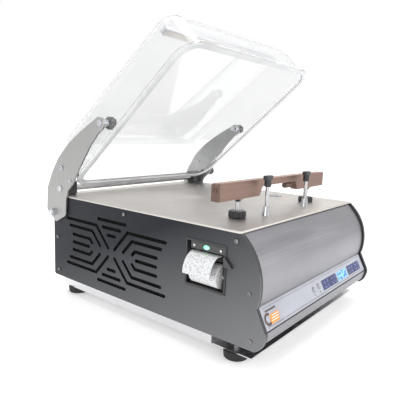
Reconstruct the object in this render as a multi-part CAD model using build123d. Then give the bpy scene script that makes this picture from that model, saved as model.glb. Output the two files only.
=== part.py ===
"""Table-top vacuum packing machine with an open clear lid, a lifting sealing bar and a label printer.

Frame: millimetres, +Z up, the control strip faces -Y and +X is the viewer's right.
The origin is on the resting plane, at the centre of the machine's footprint.
"""
import math
import os

from build123d import *

# ---------------------------------------------------------------- driving dimensions
WIDTH = 430.0                 # over the side panels
PLATE_TOP = 208.0             # height of the chamber plate above the table
PLATE_FRONT = -218.0          # Y of the plate's front edge
DEPTH = 468.0                 # plate front edge to the side panels' rear edge
PANEL_HEIGHT = 173.0          # side panel, top to bottom
PANEL_T = 3.0                 # side panel thickness
SHEET_T = 1.5                 # cabinet sheet steel
PLATE_T = 3.0                 # chamber plate
FOOT_H = 14.0                 # foot height, and height of the base pan's floor
FOOT_R = 21.0

HINGE_Y, HINGE_Z = 437.0, 14.0        # lid hinge, from the plate's front edge and top face
ARM_TAIL_Y, ARM_TAIL_Z = 458.0, -37.0  # spring stud on the tail of the open arm
LID_OPEN = 40.7                       # degrees between the closed lid and the resting, open lid
LID_HALF_W = 213.0
LID_FRONT, LID_REAR = 20.0, 414.0     # closed lid's rim, from the plate's front edge
LID_CORNER_R = 42.0
LID_RIM_Z0, LID_RIM_Z1 = 3.0, 9.0     # closed lid's rim, above the plate
LID_WALL, LID_FLANGE, LID_TAPER = 4.0, 7.0, 2.0
LID_H_FRONT, LID_H_REAR = 82.0, 101.0

BAR_LENGTH, BAR_Y = 380.0, 66.0       # sealing bar, and its distance behind the plate's front edge
BAR_T, BAR_TOP = 15.0, 61.0
BAR_TALL, BAR_THIN = 29.0, 12.0       # height of the bar's end blocks and of its middle
BAR_POST_X, BAR_POST_R = 128.0, 4.0
CLAMP_X, CLAMP_Y, CLAMP_ROD_R = 74.0, 42.0, 3.5
RUN = 0.05                            # radial clearance of a running fit
ARM_T, ARM_X = 4.0, 216.5             # lid arm thickness and inner face

REACH = 238.0                         # the rim knob and the paper reach this far out from the middle
VENT_Y, VENT_Z = 284.0, -91.0         # centre of the side vents
VENT_SLOT = 6.2
PRINTER_Y, PRINTER_Z = 62.0, -64.0    # centre of the label printer's opening
PRINTER_W, PRINTER_H = 78.0, 75.0
PAPER_W, PAPER_T, ROLL_R = 54.0, 0.4, 19.0


# ---------------------------------------------------------------- helpers
def ry(y):
    """Y of a distance behind the plate's front edge."""
    return PLATE_FRONT + y


def rz(z):
    """Z of a height above the plate's top face."""
    return PLATE_TOP + z


def box(x0, x1, y0, y1, z0, z1, r=0.0):
    """Block between two corners, with its vertical edges rounded by r."""
    block = Pos((x0 + x1) / 2, (y0 + y1) / 2, (z0 + z1) / 2) * Box(x1 - x0, y1 - y0, z1 - z0)
    return fillet(block.edges().filter_by(Axis.Z), r) if r else block


def soft_box(x0, x1, y0, y1, z0, z1, r):
    """Block with every edge rounded."""
    block = box(x0, x1, y0, y1, z0, z1)
    return fillet(block.edges(), r)


def rod(axis, start, length, r):
    """Cylinder from a start point along +X, +Y or +Z."""
    turn = {"X": Rot(0, 90, 0), "Y": Rot(-90, 0, 0), "Z": Rot(0, 0, 0)}[axis]
    return Pos(*start) * turn * Pos(0, 0, length / 2) * Cylinder(r, length)


def tube(axis, start, length, r, bore):
    return rod(axis, start, length, r) - rod(axis, start, length, bore)


def yz_solid(lines, x0, x1):
    """Closed outline in the YZ plane, extruded from x0 to x1."""
    return Pos(x0, 0, 0) * extrude(Plane.YZ * make_face(lines), x1 - x0)


def yz_poly(points, x0, x1, r=0.0):
    """Polygon in the YZ plane, extruded from x0 to x1, with corners along X rounded."""
    solid = yz_solid(Polyline(*points, close=True), x0, x1)
    return fillet(solid.edges().filter_by(Axis.X), r) if r else solid


def mirror_x(solid):
    return mirror(solid, about=Plane.YZ)


def lobed_knob(axis, start, length, r, lobes):
    """Hand knob whose rim is cut by round finger notches, with a small crown on its outer face."""
    body = rod("Z", (0, 0, 0), length, r)
    body = chamfer(body.edges(), 1.2)
    for i in range(lobes):
        angle = 360.0 * (i + 0.5) / lobes
        body -= Rot(0, 0, angle) * Pos(r * 1.13, 0, length / 2) * Cylinder(r * 0.3, length * 1.2)
    turn = {"X": Rot(0, 90, 0), "-X": Rot(0, -90, 0), "Z": Rot(0, 0, 0)}[axis]
    return Pos(*start) * turn * body


def pan_screw(axis, start, r, head):
    """Round-headed screw head with a cross recess, standing out along the axis."""
    dome = rod("Z", (0, 0, 0), head, r)
    dome = fillet(dome.edges().group_by(Axis.Z)[-1], head * 0.6)
    recess = Box(r * 1.1, r * 0.28, head) + Box(r * 0.28, r * 1.1, head)
    dome -= Pos(0, 0, head) * recess
    turn = {"X": Rot(0, 90, 0), "-X": Rot(0, -90, 0), "Y": Rot(-90, 0, 0), "Z": Rot(0, 0, 0)}[axis]
    return Pos(*start) * turn * dome


def paper_ribbon(line):
    """Thin sheet of paper that follows a line in the XZ plane, nearly as wide as the roll."""
    face = trace(line, PAPER_T)
    return Pos(0, ry(PRINTER_Y) + (PAPER_W - 1) / 2, 0) * extrude(Plane.XZ * face, PAPER_W - 1)


def group(solids):
    return Compound(children=[s for part in solids for s in part.solids()])


NODES = {}


def node(name, shape):
    """Keep a piece under its node name."""
    solids = shape.solids()
    shape = solids[0] if len(solids) == 1 else Compound(children=list(solids))
    shape.label = name
    NODES[name] = shape
    return shape


# ---------------------------------------------------------------- cabinet profile
BULGE_R, BULGE_Y, BULGE_Z = 97.0, 59.0, -79.0     # round front, from the plate's front edge and top
NOTCH_Z, TIP_Y, TIP_Z = -108.0, -50.0, -141.0     # control strip, from its upper to its lower edge
HEEL_Y, HEEL_Z = -33.0, -173.0                    # foot of the front, where the panel's underside starts


def bulge_y(z, inset=0.0):
    """Y of the round front at a height, moved inwards by inset."""
    return BULGE_Y - math.sqrt((BULGE_R - inset) ** 2 - (z - BULGE_Z) ** 2)


def p(y, z):
    return (ry(y), rz(z))


def front_lines(inset, top):
    """The front's outline from the plate down to the heel: round front, slanted strip and nose."""
    strip = math.atan2(TIP_Z - NOTCH_Z, TIP_Y - bulge_y(NOTCH_Z))
    nx, nz = -math.sin(strip) * inset, math.cos(strip) * inset
    notch = (bulge_y(NOTCH_Z, inset), NOTCH_Z)
    tip = (TIP_Y + nx, TIP_Z + nz)
    nose = (TIP_Y + 1.0 + inset, TIP_Z - 12.0)
    heel = (HEEL_Y + inset * 0.8, HEEL_Z + inset)
    return [
        ThreePointArc(p(bulge_y(top, inset), top), p(bulge_y(-60.0, inset), -60.0), p(*notch)),
        Line(p(*notch), p(*tip)),
        ThreePointArc(p(*tip), p(TIP_Y - 0.4 + inset, TIP_Z - 6.0), p(*nose)),
        ThreePointArc(p(*nose), p(-44.5 + inset * 0.9, -164.0 + inset * 0.3), p(*heel)),
    ]


def profile(inset, top, rear, bottom):
    """Closed side outline of the cabinet, all inside the front by inset."""
    front = front_lines(inset, top)
    start, heel = front[0] @ 0, front[-1] @ 1
    back = Polyline((heel.X, heel.Y), (heel.X + 8.0, rz(bottom)), p(rear, bottom), p(rear, top),
                    (start.X, start.Y))
    return front + list(back.edges())


# ---------------------------------------------------------------- cabinet shell
def slot_cut(path, r, depth):
    """Round-ended slot that follows a line of points, cut along X."""
    cut = None
    for a, b in zip(path, path[1:]):
        length, angle = math.dist(a, b), math.degrees(math.atan2(b[1] - a[1], b[0] - a[0]))
        slot = SlotCenterToCenter(length, 2 * r)
        leg = Pos((a[0] + b[0]) / 2, (a[1] + b[1]) / 2) * Rot(0, 0, angle) * slot
        cut = leg if cut is None else cut + leg
    return Pos(-depth / 2, 0, 0) * extrude(Plane.YZ * cut, depth)


def vent_paths():
    """Nested chevrons left and right of the centre, and short bars above and below it."""
    chevrons = [((9, 8.5), (44, 46.5), (137, 46.5)),
                ((33, 8.5), (56, 33.0), (127, 33.0)),
                ((57, 9.0), (64, 16.0), (117, 16.0))]
    paths = []
    for side in (-1, 1):
        paths.append([(side * 67, 0), (side * 116, 0)])
        for up in (-1, 1):
            paths += [[(side * y, up * z) for y, z in path] for path in chevrons]
    for up in (-1, 1):
        paths += [[(-half, up * z), (half, up * z)] for half, z in ((38, 60), (24, 46.5), (10, 33))]
    return paths


def side_panel(printer):
    """Right-hand panel, or with the printer's opening for the left-hand side."""
    panel = yz_solid(profile(0.0, 0.0 - PLATE_T, DEPTH, -PANEL_HEIGHT), WIDTH / 2 - PANEL_T, WIDTH / 2)
    rear = panel.edges().filter_by(Axis.X).sort_by(Axis.Y)[-2:]
    panel = fillet(rear, 5.0)
    for path in vent_paths():
        placed = [p(VENT_Y + y, VENT_Z + z) for y, z in path]
        panel -= Pos(WIDTH / 2, 0, 0) * slot_cut(placed, VENT_SLOT / 2, 4 * PANEL_T)
    if printer:
        y, z = p(PRINTER_Y, PRINTER_Z)
        panel -= box(0, WIDTH, y - PRINTER_W / 2, y + PRINTER_W / 2, z - PRINTER_H / 2, z + PRINTER_H / 2)
    for y, z in PANEL_SCREWS:
        panel -= rod("X", (0, ry(y), rz(z)), WIDTH, 2.0)
    arc = math.hypot(ARM_TAIL_Y - HINGE_Y, ARM_TAIL_Z - HINGE_Z)
    path = tube("X", (0, ry(HINGE_Y), rz(HINGE_Z)), WIDTH, arc + 5.5, arc - 5.5)
    panel -= path & box(0, WIDTH, ry(ARM_TAIL_Y), ry(DEPTH + 9), rz(-60), rz(-PLATE_T - 3))
    panel -= rod("X", (0, ry(ARM_TAIL_Y), rz(ARM_TAIL_Z)), WIDTH, 5.5)
    return panel


PANEL_SCREWS = [(6, -15), (-20, -88), (-26, -159), (455, -90), (452, -160), (250, -12)]

node("right_side_panel", side_panel(False))
node("left_side_panel", mirror_x(side_panel(True)))
screw_heads = [pan_screw("X", (WIDTH / 2 + 0.1, ry(y), rz(z)), 3.4, 2.2) for y, z in PANEL_SCREWS]
shanks = [rod("X", (WIDTH / 2 - 10, ry(y), rz(z)), 10.2, 1.9) for y, z in PANEL_SCREWS]
panel_screws = [a + b for a, b in zip(screw_heads, shanks)]

INSIDE = WIDTH / 2 - PANEL_T - 0.2               # half width between the side panels
COVER_INSET = 3.5                                # the front sheet lies this far inside the panels' edge


def front_sheet(top, bottom, x):
    """Sheet that follows the front's outline between two heights."""
    outer = yz_solid(profile(COVER_INSET, -PLATE_T, 40.0, -PANEL_HEIGHT + COVER_INSET), -x, x)
    inner_lines = profile(COVER_INSET + SHEET_T, 5.0, 60.0, -PANEL_HEIGHT + COVER_INSET + SHEET_T)
    inner = yz_solid(inner_lines, -x, x)
    window = box(-x, x, ry(-80), ry(60), rz(bottom), rz(top))
    sheet = (outer - inner) & window
    return sheet


front_cover = front_sheet(-PLATE_T, NOTCH_Z, INSIDE) - box(-WIDTH, WIDTH, ry(3), ry(60), rz(-200), rz(5))
node("front_cover", front_cover)

lower_cover = front_sheet(TIP_Z - 2.4, -PANEL_HEIGHT + COVER_INSET, INSIDE)
lower_cover += box(-INSIDE, INSIDE, ry(-30), ry(20), rz(-PANEL_HEIGHT + COVER_INSET),
                   rz(-PANEL_HEIGHT + COVER_INSET + SHEET_T))
node("lower_front_cover", lower_cover)

TRIM_W = 4.0                                     # moulding that covers the joint of panel and front
trim = yz_solid(profile(0.0, -PLATE_T, 2.0, -PANEL_HEIGHT + 2.0), INSIDE - TRIM_W, INSIDE)
trim -= yz_solid(profile(COVER_INSET - 0.5, 5.0, 60.0, -PANEL_HEIGHT + COVER_INSET - 0.3), -WIDTH, WIDTH)
trim &= box(0, WIDTH, ry(-80), ry(0), rz(-PANEL_HEIGHT + 2.0), rz(-PLATE_T - 2.0))
node("edge_trims", group([trim, mirror_x(trim)]))

# ---------------------------------------------------------------- control strip
STRIP_TOP = (bulge_y(NOTCH_Z, COVER_INSET) + 0.3, NOTCH_Z - 0.6)
STRIP_LOW = (TIP_Y + COVER_INSET - 0.1, TIP_Z - 0.8)
STRIP_LEN = math.dist(STRIP_TOP, STRIP_LOW)
STRIP_TILT = math.degrees(math.atan2(STRIP_TOP[0] - STRIP_LOW[0], STRIP_TOP[1] - STRIP_LOW[1]))
FASCIA_T, OVERLAY_T = 1.5, 0.4
KEY_GAP, KEY_T, KEY_RISE = 0.4, 3.0, 0.9


def on_strip(solid):
    """Place a piece drawn flat (X right, Y up the strip, Z outwards) on the slanted control strip."""
    y, z = (STRIP_TOP[0] + STRIP_LOW[0]) / 2, (STRIP_TOP[1] + STRIP_LOW[1]) / 2
    return Pos(0, ry(y), rz(z)) * Rot(90 - STRIP_TILT, 0, 0) * solid


def flat(x, y, w, h, z0, z1, r=0.0):
    """Flat block on the strip, centred at x, y."""
    return box(x - w / 2, x + w / 2, y - h / 2, y + h / 2, z0, z1, r)


KEYS = {                                         # centre across, centre up the strip, width, height
    "key_left_1": (18.0, -2.0, 31.5, 17.0),
    "key_left_2": (50.5, -2.0, 31.5, 17.0),
    "key_right_1": (138.5, -2.0, 31.0, 17.0),
    "key_right_2": (171.0, -2.0, 31.0, 17.0),
}
DISPLAY = (94.5, -2.0, 46.0, 17.0)
LAMPS = [(-34.0, -9.0), (-13.0, -9.0)]

fascia = flat(0, 0, 2 * INSIDE, STRIP_LEN, -FASCIA_T, 0)
overlay = flat(0, 0, 2 * INSIDE - 17, STRIP_LEN - 3, 0.02, OVERLAY_T, 2.0)
for name, (x, y, w, h) in KEYS.items():
    hole = flat(x, y, w + 2 * KEY_GAP, h + 2 * KEY_GAP, -10, 10)
    fascia -= hole
    overlay -= hole
for x, y in LAMPS:
    fascia -= Pos(x, y, 0) * Cylinder(1.6, 20)
    overlay -= Pos(x, y, 0) * Cylinder(1.6, 20)
x, y, w, h = DISPLAY
fascia -= flat(x, y, w, h, -10, 10)
overlay -= flat(x, y, w, h, -10, 10)
node("control_fascia", on_strip(fascia))
node("control_overlay", on_strip(overlay))
window = flat(x, y, w - 0.2, h - 0.2, -FASCIA_T - 0.4, OVERLAY_T + 0.1)
node("display_window", on_strip(window))
module = flat(x, y, w + 4, h + 4, -6.4, -FASCIA_T - 0.5)
lamps = [Pos(x, y, -1.4) * Cylinder(1.5, 3.6) for x, y in LAMPS]
for name, (x, y, w, h) in KEYS.items():
    cap = flat(x, y, w, h, -KEY_T, KEY_RISE)
    cap = fillet(cap.edges().filter_by(Axis.Z), 1.2)
    cap = fillet(cap.faces().sort_by(Axis.Z)[-1].edges(), 0.35)
    node(name, on_strip(cap))
board = flat(84.0, 0, 250.0, STRIP_LEN - 3, -10.0, -8.4)
for name, (x, y, w, h) in KEYS.items():
    board += flat(x, y, 6, 6, -8.4, -KEY_T - 1.0)
board += flat(DISPLAY[0], DISPLAY[1], 40, 12, -8.4, -6.5)
for x, y in LAMPS:
    board += Pos(x, y, (-8.4 - 3.3) / 2) * Cylinder(1.2, 5.1)
for x in (-5.0, 204.5):                          # pillars to the fascia
    board += Pos(x, 8, -4.95) * Cylinder(1.8, 6.9)
node("control_board", on_strip(group([board, module] + lamps)))

# ---------------------------------------------------------------- base pan and feet
PAN_X, PAN_Y0, PAN_Y1 = 204.0, 52.0, 446.0
PAN_TOP = -PANEL_HEIGHT + 14.0                   # the pan's sides reach up inside the panels
pan_floor = FOOT_H
pan = box(-PAN_X, PAN_X, ry(PAN_Y0), ry(PAN_Y1), pan_floor, rz(PAN_TOP))
pan -= box(-PAN_X + SHEET_T, PAN_X - SHEET_T, ry(PAN_Y0) + SHEET_T, ry(PAN_Y1) - SHEET_T,
           pan_floor + SHEET_T, rz(PAN_TOP) + 1)
pan += box(-PAN_X + 2, PAN_X - 2, ry(-22), ry(PAN_Y0) + SHEET_T, pan_floor, pan_floor + SHEET_T)
FOOT_X, FOOT_BOLT_R = 186.0, 3.0
FEET = [(side * FOOT_X, y) for side in (-1, 1) for y in (16.0, 424.0)]
for fx, fy in FEET:
    pan -= rod("Z", (fx, ry(fy), 0), 60, FOOT_BOLT_R + 0.3)
for i in range(9):                               # air slots in the floor
    pan -= box(-60 + 14 * i, -54 + 14 * i, ry(180), ry(260), 0, pan_floor + 10)
node("base_pan", pan)


def foot(fx, fy):
    """Rubber foot: a tapered drum with a bolt pocket."""
    drum = Pos(fx, ry(fy), FOOT_H / 2) * Cone(FOOT_R - 1.5, FOOT_R, FOOT_H - 0.1)
    drum = fillet(drum.edges().group_by(Axis.Z)[0], 2.0)
    drum -= rod("Z", (fx, ry(fy), -1), 9.0, 7.0)
    return drum - rod("Z", (fx, ry(fy), 0), 40, FOOT_BOLT_R + 0.1)


node("rubber_feet", group([foot(fx, fy) for fx, fy in FEET]))
bolts = []
for fx, fy in FEET:
    bolt = rod("Z", (fx, ry(fy), 3.6), 18.0, FOOT_BOLT_R)
    bolt += rod("Z", (fx, ry(fy), 3.6), 4.3, 6.0)
    bolt += Pos(fx, ry(fy), FOOT_H + SHEET_T + 0.1) * extrude(RegularPolygon(5.5, 6), 4.0)
    bolts.append(bolt)
node("cabinet_screws", group(panel_screws + [mirror_x(s) for s in panel_screws] + bolts))

# ---------------------------------------------------------------- chamber plate and rear
PORT_X, PORT_Y, PORT_R = 150.0, 150.0, 9.0
plate = box(-WIDTH / 2, WIDTH / 2, ry(0), ry(DEPTH - 4), rz(-PLATE_T), rz(0))
plate = fillet(plate.edges().filter_by(Axis.Z).group_by(Axis.Y)[0], 3.0)
plate = fillet(plate.edges().group_by(Axis.Z)[-1], 1.4)
for side in (-1, 1):
    plate -= rod("Z", (side * BAR_POST_X, ry(BAR_Y), 0), 400, BAR_POST_R + 4.0)
    plate -= rod("Z", (side * CLAMP_X, ry(CLAMP_Y), 0), 400, 7.0)
plate -= rod("Z", (PORT_X, ry(PORT_Y), 0), 400, PORT_R)
BLOCK_X, BLOCK_W, BLOCK_L, BLOCK_H = 198.0, 22.0, 24.0, 28.0
for side in (-1, 1):
    for y in (-7, 7):
        plate -= rod("Z", (side * BLOCK_X, ry(HINGE_Y + y), 0), 400, 2.5)
node("chamber_plate", plate)

REAR_Y = 450.0
rear = box(-INSIDE, INSIDE, ry(REAR_Y), ry(REAR_Y + SHEET_T), rz(-PANEL_HEIGHT + 4), rz(-PLATE_T - 0.2))
INLET_X, INLET_Z, INLET_W, INLET_H = 120.0, -140.0, 47.0, 28.0
rear -= box(INLET_X - INLET_W / 2, INLET_X + INLET_W / 2, 0, 400, rz(INLET_Z) - INLET_H / 2,
            rz(INLET_Z) + INLET_H / 2)
for row in range(6):
    for column in range(2):
        x = -120 + 90 * column
        air_slot = extrude(SlotOverall(70, 6), 10, both=True)
        rear -= Pos(x, ry(REAR_Y), rz(-150 + 14 * row)) * Rot(90, 0, 0) * air_slot
for side in (-1, 1):                             # flanges screwed to the side panels
    x0, x1 = sorted((side * INSIDE, side * (INSIDE - SHEET_T)))
    rear += box(x0, x1, ry(REAR_Y), ry(REAR_Y + 12), rz(-PANEL_HEIGHT + 4), rz(-70))
    for y, z in PANEL_SCREWS[3:5]:
        rear -= rod("X", (side * (INSIDE - 6) - 8, ry(y), rz(z)), 16, 2.0)
node("rear_panel", rear)

inlet = box(INLET_X - 23, INLET_X + 23, ry(REAR_Y - 22), ry(REAR_Y + 1.5), rz(INLET_Z) - 13.5,
            rz(INLET_Z) + 13.5, 0)
inlet += box(INLET_X - 27, INLET_X + 27, ry(REAR_Y + SHEET_T), ry(REAR_Y + SHEET_T + 2.5), rz(INLET_Z) - 16,
             rz(INLET_Z) + 16)
SOCKET_X, SWITCH_X = INLET_X + 8.0, INLET_X - 15.0
inlet -= box(SOCKET_X - 12, SOCKET_X + 12, ry(REAR_Y - 14), ry(REAR_Y + 9), rz(INLET_Z) - 8.5,
             rz(INLET_Z) + 8.5)
inlet -= box(SWITCH_X - 6.2, SWITCH_X + 6.2, ry(REAR_Y - 10), ry(REAR_Y + 9), rz(INLET_Z) - 10.5,
             rz(INLET_Z) + 10.5)
for dx, dz in ((-7, 0), (0, 3), (7, 0)):
    inlet += box(SOCKET_X + dx - 1, SOCKET_X + dx + 1, ry(REAR_Y - 14.5), ry(REAR_Y - 2),
                 rz(INLET_Z + dz) - 2, rz(INLET_Z + dz) + 2)
node("power_inlet", inlet)
ROCKER_AXIS_Y = REAR_Y - 1.0
rocker_points = [p(REAR_Y - 7, INLET_Z - 8.6), p(REAR_Y + 3.0, INLET_Z - 9.2), p(REAR_Y + 4.6, INLET_Z),
                 p(REAR_Y + 6.4, INLET_Z + 8.6), p(REAR_Y - 3, INLET_Z + 9.0)]
rocker = yz_poly(rocker_points, SWITCH_X - 5.6, SWITCH_X + 5.6)
rocker = fillet(rocker.edges().filter_by(Axis.X).group_by(Axis.Y)[-1], 0.8)
rocker += rod("X", (SWITCH_X - 6.0, ry(ROCKER_AXIS_Y), rz(INLET_Z)), 12.0, 1.5)
node("rocker_switch", rocker)

# ---------------------------------------------------------------- lid, drawn closed and then swung open
SHAFT_R = 6.0
blocks = []
for side in (-1, 1):
    x0, x1 = side * BLOCK_X - BLOCK_W / 2, side * BLOCK_X + BLOCK_W / 2
    y0, y1 = ry(HINGE_Y) - BLOCK_L / 2, ry(HINGE_Y) + BLOCK_L / 2
    block = box(x0 + 2.5, x1 - 2.5, y0 + 2.5, y1 - 2.5, rz(0), rz(HINGE_Z))
    block += box(x0, x1, y0, y1, rz(3), rz(BLOCK_H), 3.0)
    blocks.append(block - rod("X", (x0 - 5, ry(HINGE_Y), rz(HINGE_Z)), BLOCK_W + 10, SHAFT_R + RUN))
node("hinge_blocks", group(blocks))


def swing(solid):
    """Swing a piece of the closed lid open about the hinge."""
    to_hinge = Pos(0, ry(HINGE_Y), rz(HINGE_Z))
    from_hinge = Pos(0, -ry(HINGE_Y), -rz(HINGE_Z))
    return to_hinge * Rot(-LID_OPEN, 0, 0) * from_hinge * solid


def opened(y, z):
    """Where a point of the closed lid, seen from the side, lies once the lid is open."""
    swung = swing(Pos(0, ry(y), rz(z))).position
    return swung.Y - PLATE_FRONT, swung.Z - PLATE_TOP


def rounded_rect(half_w, y0, y1, z, r):
    """Rounded rectangle in a level plane."""
    return Pos(0, (ry(y0) + ry(y1)) / 2, rz(z)) * RectangleRounded(2 * half_w, y1 - y0, r)


def dome_solid(inset):
    """Closed shape of the dome, pulled in all round by inset: a wedge that is higher at the rear."""
    r = LID_CORNER_R - inset
    edge = LID_FLANGE + inset
    base = rounded_rect(LID_HALF_W - edge, LID_FRONT + edge, LID_REAR - edge, LID_RIM_Z0, r - LID_FLANGE)
    body = extrude(base, LID_H_REAR + 40, taper=LID_TAPER)
    slope = [p(LID_FRONT - 20, LID_RIM_Z0 - 1), p(LID_FRONT - 20, LID_H_FRONT - inset - 1),
             p(LID_REAR - 30, LID_H_REAR - inset), p(LID_REAR + 20, LID_H_REAR - 88 - inset),
             p(LID_REAR + 20, LID_RIM_Z0 - 1)]
    wedge = yz_solid(Polyline(*slope, close=True), -WIDTH, WIDTH)
    body = body & wedge
    top = body.edges().filter_by(lambda e: e.center().Z > rz(60))
    return body, top


OUTER_R, INNER_R = 18.0, 14.0                    # rounding of the dome's top edges, outside and inside
outer_dome = fillet(dome_solid(0.0)[1], OUTER_R)
inner_dome = fillet(dome_solid(LID_WALL)[1], INNER_R)
flange = extrude(rounded_rect(LID_HALF_W, LID_FRONT, LID_REAR, LID_RIM_Z0, LID_CORNER_R),
                 LID_RIM_Z1 - LID_RIM_Z0)
flange = fillet(flange.edges().group_by(Axis.Z)[-1], 2.0)
lid = (outer_dome + flange) - inner_dome
FIX_Y, FIX_Z = 254.1, 33.4                        # arm fixing through the closed lid's side wall
lid -= rod("X", (-WIDTH, ry(FIX_Y), rz(FIX_Z)), 2 * WIDTH, 3.3)
lid -= rod("X", (-WIDTH, ry(400.2), rz(6.1)), WIDTH - 197, 2.3)
lid -= rod("X", (197, ry(400.2), rz(6.1)), WIDTH, 2.3)
node("lid_dome", swing(lid))
gasket = extrude(rounded_rect(LID_HALF_W - 1, LID_FRONT + 1, LID_REAR - 1, 0.4, LID_CORNER_R - 1),
                 LID_RIM_Z0 - 0.4)
gasket -= Pos(0, 0, -1) * extrude(rounded_rect(LID_HALF_W - 10, LID_FRONT + 10, LID_REAR - 10, 0.4,
                                               LID_CORNER_R - 10), 10)
node("lid_gasket", swing(gasket))

COUNTER_X, COUNTER_Z = 180.0, 71.0
holder = box(-COUNTER_X, COUNTER_X, ry(BAR_Y - 7), ry(BAR_Y + 7), rz(COUNTER_Z), rz(COUNTER_Z + 9))
holder -= box(-WIDTH, WIDTH, ry(BAR_Y - 4), ry(BAR_Y + 4), rz(COUNTER_Z - 1), rz(COUNTER_Z + 3))
strip = box(-COUNTER_X + 2, COUNTER_X - 2, ry(BAR_Y - 3.9), ry(BAR_Y + 3.9), rz(COUNTER_Z - 1),
            rz(COUNTER_Z + 3))
node("silicone_strip", swing(strip))
dome_wall = outer_dome - inner_dome
posts = [rod("Z", (x, ry(BAR_Y), rz(COUNTER_Z + 9)), 5.0, 6.0) - dome_wall for x in (-120, 0, 120)]
node("counter_bar", swing(group([holder] + posts)))

SPACER_IN, RIM_SPACER_IN = 205.2, 213.2    # inner ends of the spacers between arm and lid
OPEN_FIX = opened(FIX_Y, FIX_Z)                  # the same fixing on the open arm
arm_lines = Polyline(p(454, -57), p(486, -35), p(483, 12), p(464, 48), p(443, 76), p(412, 104), p(380, 125),
                     p(352, 141), p(318, 159), p(305, 157), p(302, 139), p(318, 128), p(340, 106),
                     p(362, 77), p(383, 48), p(397, 26), p(414, 10), p(419, -8), p(421, -40), close=True)
arm = yz_solid(arm_lines, ARM_X, ARM_X + ARM_T)
arm = fillet(arm.edges().filter_by(Axis.X), 5.0)
corner_fix, rim_fix = (432.0, 57.0), opened(400.2, 6.1)
for y, z, r in ((HINGE_Y, HINGE_Z, 4.1), (ARM_TAIL_Y, ARM_TAIL_Z, 4.1), (*OPEN_FIX, 3.1),
                (*corner_fix, 3.1),
                (*rim_fix, 2.1)):
    arm -= rod("X", (0, ry(y), rz(z)), WIDTH, r)
arm = chamfer(arm.faces().sort_by(Axis.X)[-1].outer_wire().edges(), 0.6)
node("lid_arms", group([arm, mirror_x(arm)]))

shaft = rod("X", (-ARM_X, ry(HINGE_Y), rz(HINGE_Z)), 2 * ARM_X, SHAFT_R)
for side in (-1, 1):
    shaft -= rod("X", (side * (ARM_X - 8) - 10, ry(HINGE_Y), rz(HINGE_Z)), 20, 4.0)
node("hinge_shaft", shaft)


def arm_bolt(y, z, r, head_r, head, inner_x):
    """Bolt through the right arm, with a hexagon socket in its head."""
    outer = ARM_X + ARM_T
    bolt = rod("X", (inner_x, ry(y), rz(z)), outer - inner_x + 0.1, r)
    cap = rod("X", (outer, ry(y), rz(z)), head, head_r)
    cap = chamfer(cap.edges().group_by(Axis.X)[-1], 0.5)
    cap -= Pos(outer + head - 1.5, ry(y), rz(z)) * Rot(0, 90, 0) * extrude(RegularPolygon(r * 0.8, 6), 4)
    return bolt + cap


pivot_bolt = arm_bolt(HINGE_Y, HINGE_Z, 3.95, 5.5, 3.0, ARM_X - 7.5)
corner_bolt = arm_bolt(*corner_fix, 3.0, 5.0, 3.0, ARM_X - 4)
rim_bolt = arm_bolt(*rim_fix, 2.0, 3.5, 2.2, 199.0)
fix_bolt = arm_bolt(*OPEN_FIX, 3.0, 5.5, 3.0, 190.0)
fasteners = [pivot_bolt, corner_bolt, mirror_x(pivot_bolt), mirror_x(corner_bolt), mirror_x(rim_bolt),
             mirror_x(fix_bolt)]
fix_stud = rod("X", (194.0, ry(OPEN_FIX[0]), rz(OPEN_FIX[1])), 38.0, 3.0)
fix_nut = Rot(0, 90, 0) * extrude(RegularPolygon(6.0, 6), 4.5)
fix_stud += Pos(195.5, ry(OPEN_FIX[0]), rz(OPEN_FIX[1])) * fix_nut
rim_stud = rod("X", (199.0, ry(rim_fix[0]), rz(rim_fix[1])), 38.0, 2.0)
fasteners += [fix_stud, rim_stud]

tail = rod("X", (203.0, ry(ARM_TAIL_Y), rz(ARM_TAIL_Z)), 26.0, 4.0)
tail += rod("X", (189.0, ry(ARM_TAIL_Y), rz(ARM_TAIL_Z)), 15.0, 3.0)
tail += rod("X", (188.0, ry(ARM_TAIL_Y), rz(ARM_TAIL_Z)), 2.0, 4.5)
tail += rod("X", (ARM_X - 1.2, ry(ARM_TAIL_Y), rz(ARM_TAIL_Z)), 1.2, 8.0)
tail_nut = Rot(0, 90, 0) * extrude(RegularPolygon(8.0, 6), 7)
tail += Pos(ARM_X + ARM_T, ry(ARM_TAIL_Y), rz(ARM_TAIL_Z)) * tail_nut
dome_end = Pos(ARM_X + ARM_T + 7, ry(ARM_TAIL_Y), rz(ARM_TAIL_Z)) * Sphere(6.5)
tail += dome_end & rod("X", (ARM_X + ARM_T + 6.5, ry(ARM_TAIL_Y), rz(ARM_TAIL_Z)), 20, 8)
fasteners += [tail, mirror_x(tail)]

spacer = tube("X", (SPACER_IN, ry(OPEN_FIX[0]), rz(OPEN_FIX[1])), ARM_X - SPACER_IN, 7.0, 3.1)
rim_spacer = tube("X", (RIM_SPACER_IN, ry(rim_fix[0]), rz(rim_fix[1])), ARM_X - RIM_SPACER_IN, 4.5, 2.1)
fasteners += [spacer, mirror_x(spacer), rim_spacer, mirror_x(rim_spacer)]
node("arm_fasteners", group(fasteners))
left_knob = lobed_knob("X", (-200.4, ry(OPEN_FIX[0]), rz(OPEN_FIX[1])), 12.0, 12.0, 6)
left_knob -= rod("X", (-WIDTH, ry(OPEN_FIX[0]), rz(OPEN_FIX[1])), WIDTH, 3.0 + RUN)
right_knob = lobed_knob("X", (ARM_X + ARM_T + 0.3, ry(OPEN_FIX[0]), rz(OPEN_FIX[1])), 13.0, 11.0, 6)
right_knob -= rod("X", (0, ry(OPEN_FIX[0]), rz(OPEN_FIX[1])), WIDTH, 3.0 + RUN)
rim_knob = lobed_knob("X", (ARM_X + ARM_T + 0.3, ry(rim_fix[0]), rz(rim_fix[1])),
                      REACH - ARM_X - ARM_T - 0.3, 10.0, 5)
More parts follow.
